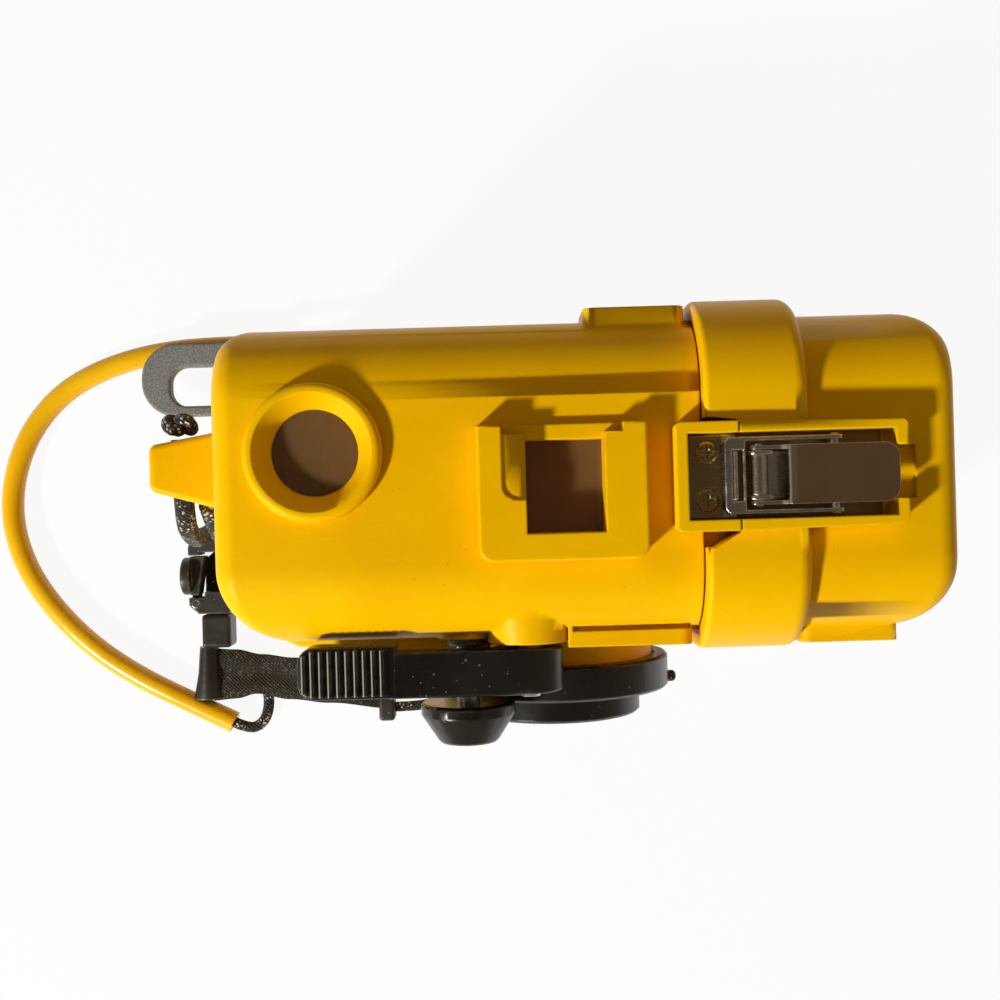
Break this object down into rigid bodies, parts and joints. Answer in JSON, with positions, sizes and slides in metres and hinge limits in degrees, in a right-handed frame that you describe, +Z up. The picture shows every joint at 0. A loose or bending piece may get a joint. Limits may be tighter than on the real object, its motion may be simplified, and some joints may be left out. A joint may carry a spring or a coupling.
{
  "type": "underwater camera",
  "caption": "Yellow waterproof camera housing with hinged end cap and toggle latch, outside shutter lever and knob, push-on close-up lens, film camera inside, and a lanyard.",
  "frame": {"origin": "mouth of the tripod socket, at the middle of the housing's base, where the housing stands", "axes": "+X towards the hinged cap, -Y the way the lens looks, +Z up through the latch"},
  "size_m": [0.236, 0.1118, 0.0984],
  "materials": {
    "yellow_plastic": "satin moulded plastic",
    "clear_pane": "clear acrylic",
    "black_plastic": "glossy moulded plastic",
    "steel": "polished stainless sheet",
    "grey_plastic": "matte moulded plastic",
    "rubber": "soft black rubber",
    "brass": "turned",
    "camera_plastic": "dark moulded plastic",
    "optical_glass": "polished and coated",
    "cord": "braided black cord with pale flecks",
    "webbing": "woven nylon tape",
    "yellow_vinyl": "smooth vinyl sleeve"
  },
  "bodies": {
    "housing": {"main_housing": "yellow_plastic", "top_window": "clear_pane", "shoe_window": "clear_pane", "rear_finder_window": "clear_pane", "front_finder_window": "clear_pane", "port_glass": "clear_pane", "port_retaining_ring": "black_plastic", "snap_hook_body": "black_plastic", "swivel_block": "black_plastic", "strap_ferrule": "black_plastic", "hinge_pin": "steel", "striker_plate": "steel", "striker_screws": "steel", "snap_hook_pin": "steel", "lanyard_ring": "grey_plastic", "shutter_gland": "grey_plastic", "control_gland": "grey_plastic", "door_seal": "rubber", "port_seal": "rubber", "shutter_seal": "rubber", "control_seal": "rubber", "cradle_pads": "rubber", "tripod_bushing": "brass", "camera_body": "camera_plastic", "camera_lens_barrel": "camera_plastic", "camera_lens_glass": "optical_glass", "camera_finder_tube": "optical_glass", "camera_flash": "optical_glass", "lug_cord": "cord", "lug_knot": "cord", "lanyard_cord_front": "cord", "lanyard_cord_rear": "cord", "lanyard_knot": "cord", "lens_leash": "cord", "webbing_strap": "webbing", "strap_end": "webbing", "lanyard_tube": "yellow_vinyl"},
    "cap": {"door_cap": "yellow_plastic", "flash_window": "clear_pane", "latch_base": "steel", "latch_base_screws": "steel", "latch_pivot_pin": "steel"},
    "latch": {"latch_lever": "steel", "bail_pin": "steel"},
    "bail": {"latch_bail": "steel"},
    "shutter": {"shutter_lever": "black_plastic", "shutter_shaft": "steel", "lever_screw": "steel", "shutter_finger": "steel"},
    "camera_button": {"camera_shutter_button": "camera_plastic"},
    "knob": {"control_knob": "black_plastic", "control_shaft": "steel", "control_crank": "steel"},
    "closeup": {"closeup_adapter_ring": "black_plastic", "closeup_front_ring": "black_plastic", "closeup_lens": "optical_glass"},
    "snap_gate": {"snap_hook_gate": "black_plastic"}
  },
  "joints": [
    {"name": "cap_hinge", "type": "hinge", "parent": "housing", "child": "cap", "pos_m": [0.0262, 0, 0.0032], "axis": [0, 1, 0], "range_deg": [0, 90]},
    {"name": "latch_hinge", "type": "hinge", "parent": "cap", "child": "latch", "pos_m": [0.0342, -0.00075, 0.0946], "axis": [0, -1, 0], "range_deg": [0, 110]},
    {"name": "bail_hinge", "type": "hinge", "parent": "latch", "child": "bail", "pos_m": [0.0497, -0.00075, 0.0952], "axis": [0, 1, 0], "range_deg": [0, 110]},
    {"name": "shutter_press", "type": "hinge", "parent": "housing", "child": "shutter", "pos_m": [-0.0135, 0, 0.078], "axis": [0, -1, 0], "range_deg": [0, 6], "stiffness_Nm_per_rad": 0.2, "springref_deg": -17.19},
    {"name": "camera_button_press", "type": "slide", "parent": "housing", "child": "camera_button", "axis": [0, 0, -1], "range_m": [0, 0.0018]},
    {"name": "knob_turn", "type": "hinge", "parent": "housing", "child": "knob", "pos_m": [-0.0273, 0, 0.0755], "axis": [0, -1, 0], "range_deg": [-45, 45]},
    {"name": "closeup_pull", "type": "slide", "parent": "housing", "child": "closeup", "axis": [0, -1, 0], "range_m": [0, 0.012]},
    {"name": "snap_gate_hinge", "type": "hinge", "parent": "housing", "child": "snap_gate", "pos_m": [-0.1039, -0.0308, 0.006], "axis": [0, 0, -1], "range_deg": [0, 20], "stiffness_Nm_per_rad": 0.002, "springref_deg": -28.65}
  ],
  "couplings": [
    {"joint": "bail_hinge", "follows": "latch_hinge", "ratio": 1},
    {"joint": "camera_button_press", "follows": "shutter_press", "m_per_rad": 0.0165}
  ]
}
